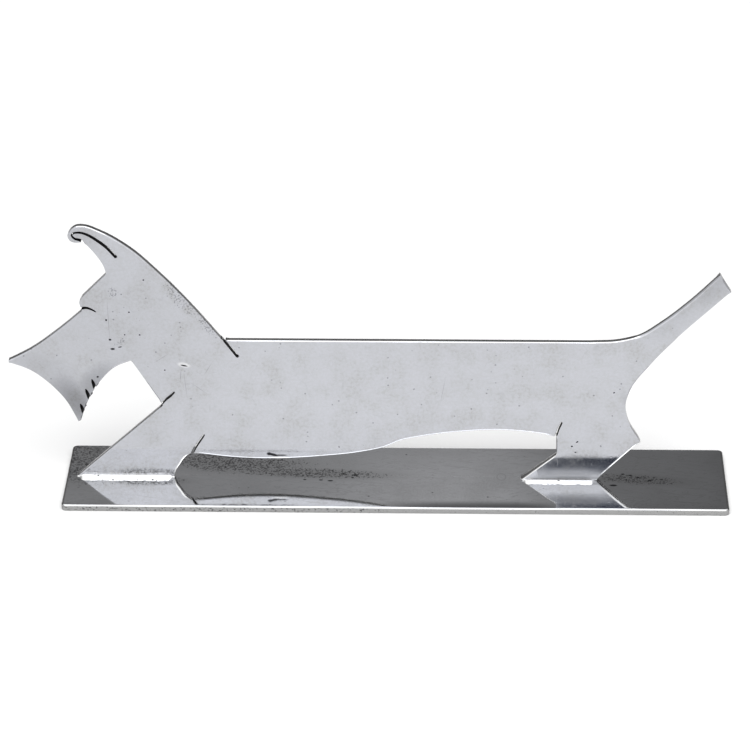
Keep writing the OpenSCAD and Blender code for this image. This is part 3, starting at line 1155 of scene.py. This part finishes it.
def plate_metal(finishes, effects):
    """Polished metal with hairlines, a few areas of dark, speckled tarnish, and painted shade before
    the feet and at the two ends.
    """
    material, graph, shader, (x, y, z) = new_metal("base plate polished")

    def marked(places, softness):
        """The highest of the oval marks at the places."""
        return graph.highest(*mark_masks(graph, effects["mark"], x, y, places, softness))

    cloud = graph.group(effects["patina"], Clouds_per_metre=120.0, Grain_per_metre=4200.0)
    lines = graph.group(effects["hairlines"], Lines_per_metre=1500.0, Draw=0.02)["Mask"]
    specks = graph.group(effects["pits"], Pits_per_metre=800.0, Share=0.16, Size=0.13)["Mask"]
    on_top = graph.math("GREATER_THAN", z, TOP_LEVEL)
    area = graph.times(on_top, marked(PLATE_TARNISH, 0.7))
    single = graph.times(on_top, marked(PLATE_SPECKS, 0.4))
    outer, inner = mark_masks(graph, effects["mark"], x, y, PLATE_RING, 0.18)
    sawn = graph.attribute("sawn")
    ends = graph.ramp(graph.math("ABSOLUTE", x), *END_SHADE)
    dull = graph.highest(
        graph.times(cloud["Mask"], 0.40),
        graph.times(area, 0.55),
        graph.times(marked(PLATE_SHADE_BEFORE_FEET, 0.8), 0.22),
        graph.times(lines, 0.30),
        graph.times(graph.minus(outer, inner), 0.5),
    )
    specked_side = graph.times(sawn, graph.ramp(x, 6 * MM, -10 * MM, 0.46, 0.68))
    coarse = graph.group(effects["speckles"], Area=graph.highest(area, specked_side))["Mask"]
    dark = graph.highest(graph.times(coarse, 0.80), graph.times(specks, 0.6), single)
    tone = graph.layers(
        finishes.plate,
        (dull, finishes.patina),
        (sawn, finishes.plate_side),
        # Painted shade at the plate's two ends, in the colour of the sawn edges
        (ends, finishes.sawn),
        (dark, finishes.tarnish_and_shade),
    )
    gloss = graph.total(0.045, (dull, 0.12), (sawn, 0.15), (dark, 0.20))
    height = graph.total(0.0, (lines, -0.01), (cloud["Grain"], 0.02), (single, -0.15))
    finish_metal(graph, shader, tone, gloss, height, 0.010 * MM)
    return material


def solder_metal(finishes, effects):
    """Bright solder, lumpy and smoothed, with small dark pits, and a painted shade where it climbs the
    foot.
    """
    material, graph, shader, (x, _, z) = new_metal("bright solder")
    # Painted shade in the crease where the solder climbs the foot, in the colour of the sawn edges
    shade_from = graph.ramp(x, -1 * MM, 1 * MM, 1.16 * MM, 1.03 * MM)
    shade_at_foot = graph.ramp(graph.minus(z, shade_from), 0.0, 0.09 * MM, 0.0, 0.75)
    cloud = graph.group(effects["patina"], Clouds_per_metre=900.0)
    specks = graph.group(effects["pits"], Pits_per_metre=1500.0, Share=0.34, Size=0.30)["Mask"]
    tone = graph.layers(
        finishes.solder,
        (graph.times(cloud["Mask"], 0.40), finishes.patina),
        (shade_at_foot, finishes.sawn),
        (graph.times(specks, 0.85), finishes.tarnish_and_shade),
    )
    gloss = graph.total(0.20, (cloud["Grain"], 0.08))
    finish_metal(graph, shader, tone, gloss, cloud["Mask"], 0.015 * MM)
    return material


def floor_paper(stage):
    """Matt pale paper."""
    material, _, shader = new_material("pale floor", "ShaderNodeBsdfDiffuse")
    shader["Color"].default_value = paint(stage.floor)
    return material


# The stage


# Greys of the room behind the rest, from left to right: a place from 0 to 1 and its grey
ROOM_GREYS = (
    (0.0, 0.26),
    (0.20, 0.28),
    (0.30, 0.29),
    (0.39, 0.30),
    (0.50, 0.36),
    (0.59, 0.18),
    (0.68, 0.15),
    (1.0, 0.22),
)
# How far to each side those greys run, as a part of the ray's direction
ROOM_REACH = 0.25
# The colour of the dim patch at the front
DIM_PATCH = (0.030, 0.044, 0.082)
# The lamp's middle and its two sides, and the point that the camera looks at
LAMP_PLACE = Vector((0.0, -0.33, 0.68))
LAMP_SIZE = (0.80, 0.33)
LOOK_AT = Vector((-2.75, 0.0, 16.63)) * MM


def soft_surroundings():
    """The world: bright overhead and in front, pale at the horizon, with a dim room behind the rest.

    Every ray sees the same world. x, y and z are the ray's direction; the dim band lies behind the
    rest, from low over the floor up to 50 degrees, and a dim patch stands at the front on the right.
    """
    world = bpy.data.worlds.new("soft room")
    world.use_nodes = True
    bpy.context.scene.world = world
    graph = Graph(world.node_tree)
    graph.tree.nodes.clear()
    direction = graph.add("ShaderNodeTexCoord").outputs["Generated"]
    x, y, z = graph.add("ShaderNodeSeparateXYZ", {0: direction}).outputs
    aside = graph.math("ABSOLUTE", x)
    along_room = graph.add("ShaderNodeMapRange", {
        "Value": x, "From Min": -ROOM_REACH, "From Max": ROOM_REACH,
    }).outputs["Result"]
    across = graph.add("ShaderNodeValToRGB", {"Fac": along_room})
    across.color_ramp.interpolation = "EASE"
    while len(across.color_ramp.elements) < len(ROOM_GREYS):
        across.color_ramp.elements.new(0.5)
    for element, (position, grey) in zip(across.color_ramp.elements, ROOM_GREYS):
        element.position = position
        element.color = (grey, grey, grey * 1.02, 1.0)
    glow = graph.times(graph.ramp(aside, 0.06, 0.01), graph.ramp(z, 0.490, 0.499, 0.0, 0.28))
    fading = graph.times(graph.ramp(z, 0.502, 0.575, 1.0, 0.32), graph.plus(glow, 1.0))
    room = graph.mix(1.0, across.outputs["Color"], fading, blend_type="MULTIPLY")
    in_front = graph.times(graph.ramp(y, -0.2, -0.5), graph.ramp(z, 0.75, 0.60))
    light = graph.times(graph.ramp(aside, 0.45, 0.80, 1.40, 0.80), graph.total(1.0, (in_front, 0.23)))
    behind = graph.times(graph.ramp(y, 0.05, 0.35), graph.band(z, -0.12, -0.04, 0.62, 0.76))
    patch = graph.times(graph.ramp(y, -0.2, -0.4), graph.band(x, 0.004, 0.014, 0.07, 0.10),
                        graph.band(z, 0.275, 0.400, 0.546, 0.618))
    sky = graph.mix(patch, graph.mix(behind, light, room), paint(DIM_PATCH))
    background = graph.add("ShaderNodeBackground", {"Color": sky, "Strength": 1.0})
    graph.add("ShaderNodeOutputWorld", {"Surface": background.outputs["Background"]})


def camera_matrix(stage):
    """The camera's place: back along its line of sight from where it looks, and rolled about it."""
    yaw, height, roll = stage.camera_yaw, stage.camera_height, stage.camera_roll
    level = math.cos(height)
    sight = Vector((math.sin(yaw) * level, math.cos(yaw) * level, -math.sin(height)))
    right = Vector((math.cos(yaw), -math.sin(yaw), 0.0))
    up = right.cross(sight)
    rolled_right = math.cos(roll) * right + math.sin(roll) * up
    rolled_up = math.cos(roll) * up - math.sin(roll) * right
    turn = Matrix((rolled_right, rolled_up, -sight)).transposed().to_4x4()
    return Matrix.Translation(LOOK_AT - sight * stage.camera_distance) @ turn


# Operators


class RestOperator:
    """What the operators share: they can be undone, and give each piece one material."""

    bl_options = {"REGISTER", "UNDO"}

    def dress(self, piece, material):
        """Puts the material on the piece."""
        piece.data.materials.clear()
        piece.data.materials.append(material)


class REST_OT_base_plate(RestOperator, bpy.types.Operator):
    """Make the base plate with its rounded edges"""

    bl_idname = "rest.base_plate"
    bl_label = "Base plate"

    def execute(self, context):
        base_plate(context.scene.rest_sizes)
        return {"FINISHED"}


class REST_OT_terrier(RestOperator, bpy.types.Operator):
    """Make the sawn terrier with its rounded edges and saw cuts"""

    bl_idname = "rest.terrier"
    bl_label = "Terrier"

    def execute(self, context):
        terrier(context.scene.rest_sizes)
        return {"FINISHED"}


class REST_OT_solder(RestOperator, bpy.types.Operator):
    """Make the solder joints at the front and hind feet"""

    bl_idname = "rest.solder"
    bl_label = "Solder joints"

    def execute(self, context):
        sizes = context.scene.rest_sizes
        solder_joint("front_solder", "front_foot_solder", sizes)
        solder_joint("hind_solder", "hind_foot_solder", sizes)
        return {"FINISHED"}


class REST_OT_finishes(RestOperator, bpy.types.Operator):
    """Give each piece its metal"""

    bl_idname = "rest.finishes"
    bl_label = "Finishes"

    def execute(self, context):
        finishes = context.scene.rest_finishes
        effects = {
            "hairlines": hairlines_group(), "scratches": scratches_group(), "pits": pits_group(),
            "mark": mark_group(), "patina": patina_group(), "speckles": speckle_group(),
        }
        objects = bpy.data.objects
        self.dress(objects["terrier"], terrier_metal(finishes, effects))
        self.dress(objects["base_plate_polished"], plate_metal(finishes, effects))
        solder = solder_metal(finishes, effects)
        self.dress(objects["front_solder"], solder)
        self.dress(objects["hind_solder"], solder)
        return {"FINISHED"}


class REST_OT_stage(RestOperator, bpy.types.Operator):
    """Make the floor, the soft light and the camera"""

    bl_idname = "rest.stage"
    bl_label = "Stage"

    def execute(self, context):
        stage = context.scene.rest_stage
        half = stage.floor_span / 2
        low = cad_bounds[0][2]
        mesh = bpy.data.meshes.new("floor")
        corners = [(-half, -half, low), (half, -half, low), (half, half, low), (-half, half, low)]
        mesh.from_pydata(corners, [], [(0, 1, 2, 3)])
        floor = bpy.data.objects.new("floor", mesh)
        context.scene.collection.objects.link(floor)
        self.dress(floor, floor_paper(stage))
        soft_surroundings()
        lamp = bpy.data.lights.new("soft lamp", "AREA")
        lamp.shape = "RECTANGLE"
        lamp.size, lamp.size_y = LAMP_SIZE
        lamp.energy = stage.lamp_power
        lamp_object = bpy.data.objects.new("soft lamp", lamp)
        lamp_object.location = LAMP_PLACE
        lamp_object.rotation_euler = LAMP_PLACE.to_track_quat("Z", "Y").to_euler()
        context.scene.collection.objects.link(lamp_object)
        camera = bpy.data.cameras.new("camera")
        camera.sensor_width = 36.0
        camera.lens = stage.lens
        camera.clip_start = 0.01
        camera_object = bpy.data.objects.new("camera", camera)
        camera_object.matrix_world = camera_matrix(stage)
        context.scene.collection.objects.link(camera_object)
        context.scene.camera = camera_object
        context.scene.view_settings.view_transform = "Standard"
        return {"FINISHED"}


class REST_PT_panel(bpy.types.Panel):
    """Makes the knife rest, piece by piece"""

    bl_idname = "REST_PT_panel"
    bl_label = "Knife rest"
    bl_space_type = "VIEW_3D"
    bl_region_type = "UI"
    bl_category = "Knife rest"

    def draw(self, context):
        for operator in OPERATORS:
            self.layout.operator(operator.bl_idname)
        scene = context.scene
        for settings in (scene.rest_sizes, scene.rest_finishes, scene.rest_stage):
            box = self.layout.box()
            for name in settings.__annotations__:
                box.prop(settings, name)


OPERATORS = (
    REST_OT_base_plate,
    REST_OT_terrier,
    REST_OT_solder,
    REST_OT_finishes,
    REST_OT_stage,
)
CLASSES = (RestSizes, RestFinishes, RestStage, *OPERATORS, REST_PT_panel)


def register():
    for made in CLASSES:
        bpy.utils.register_class(made)
    bpy.types.Scene.rest_sizes = PointerProperty(type=RestSizes)
    bpy.types.Scene.rest_finishes = PointerProperty(type=RestFinishes)
    bpy.types.Scene.rest_stage = PointerProperty(type=RestStage)


def unregister():
    del bpy.types.Scene.rest_stage
    del bpy.types.Scene.rest_finishes
    del bpy.types.Scene.rest_sizes
    for made in reversed(CLASSES):
        bpy.utils.unregister_class(made)


def main():
    """Registers the classes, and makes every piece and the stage."""
    register()
    bpy.ops.rest.base_plate()
    bpy.ops.rest.terrier()
    bpy.ops.rest.solder()
    bpy.ops.rest.finishes()
    bpy.ops.rest.stage()


if __name__ == "__main__":
    main()
